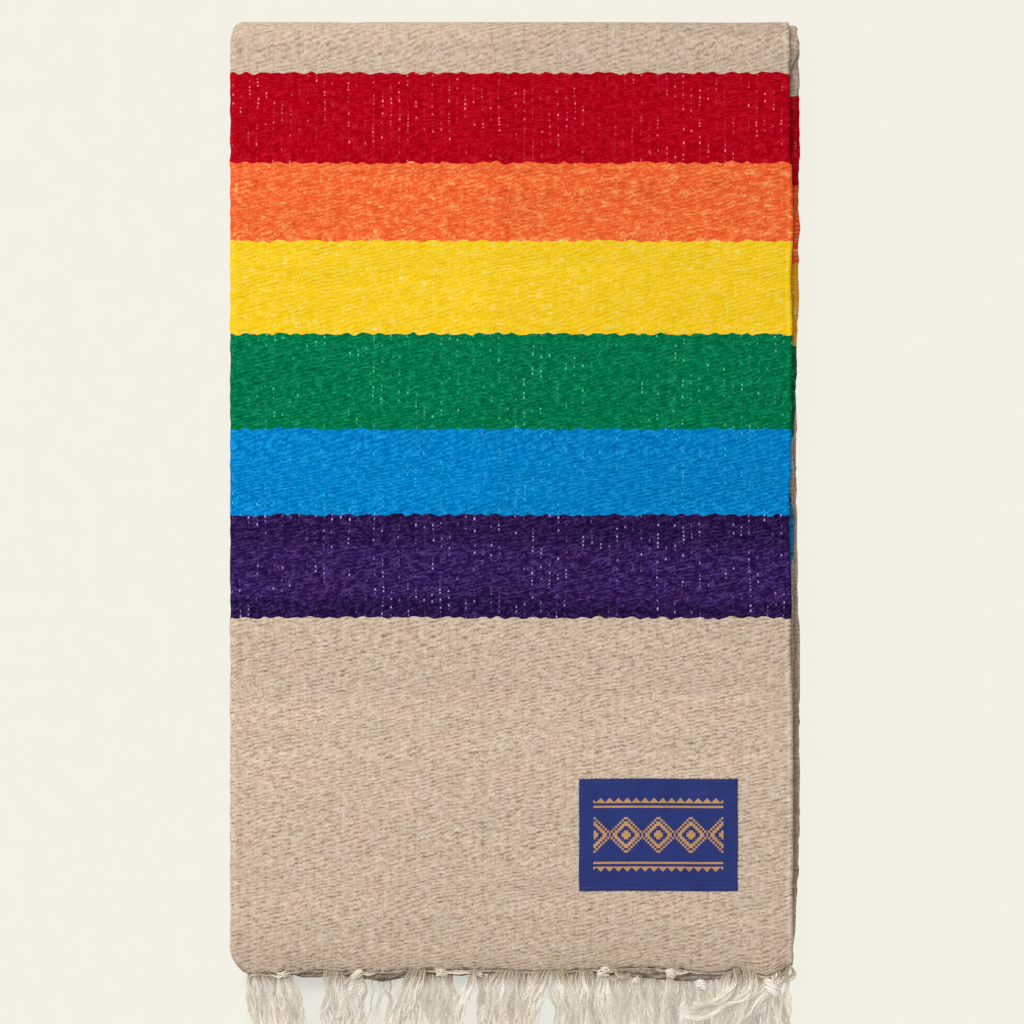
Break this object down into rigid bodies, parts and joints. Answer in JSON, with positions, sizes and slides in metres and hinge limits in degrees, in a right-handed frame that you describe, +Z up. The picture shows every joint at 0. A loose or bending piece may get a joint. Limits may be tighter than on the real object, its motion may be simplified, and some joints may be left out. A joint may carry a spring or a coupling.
{
  "type": "folded serape blanket",
  "caption": "Striped woven serape blanket, folded to a flat rectangle with knotted fringe at one end, for use as a throw.",
  "frame": {"origin": "on the flat underside, below the middle of the folded top layer without its fringe", "axes": "+X across the folded blanket towards the free selvedges, +Y along it from the fringe to the long round fold, +Z up"},
  "size_m": [0.388, 0.7565, 0.0338],
  "materials": {
    "top_cloth": "matte weft-faced twill, tan ground with red, orange, yellow, green, blue and purple stripes",
    "folded_cloth": "the same matte weft-faced twill in the layers below",
    "label_weave": "fine woven label with a slight satin sheen, navy ground with gold-brown design",
    "fringe_yarn": "matte loose yarn, unbleached cream"
  },
  "bodies": {
    "root": {"front_panel": "top_cloth", "folded_layers": "folded_cloth", "label": "label_weave", "fringe_top_layer": "fringe_yarn", "fringe_second_layer": "fringe_yarn", "fringe_third_layer": "fringe_yarn", "fringe_fourth_layer": "fringe_yarn"}
  },
  "joints": []
}
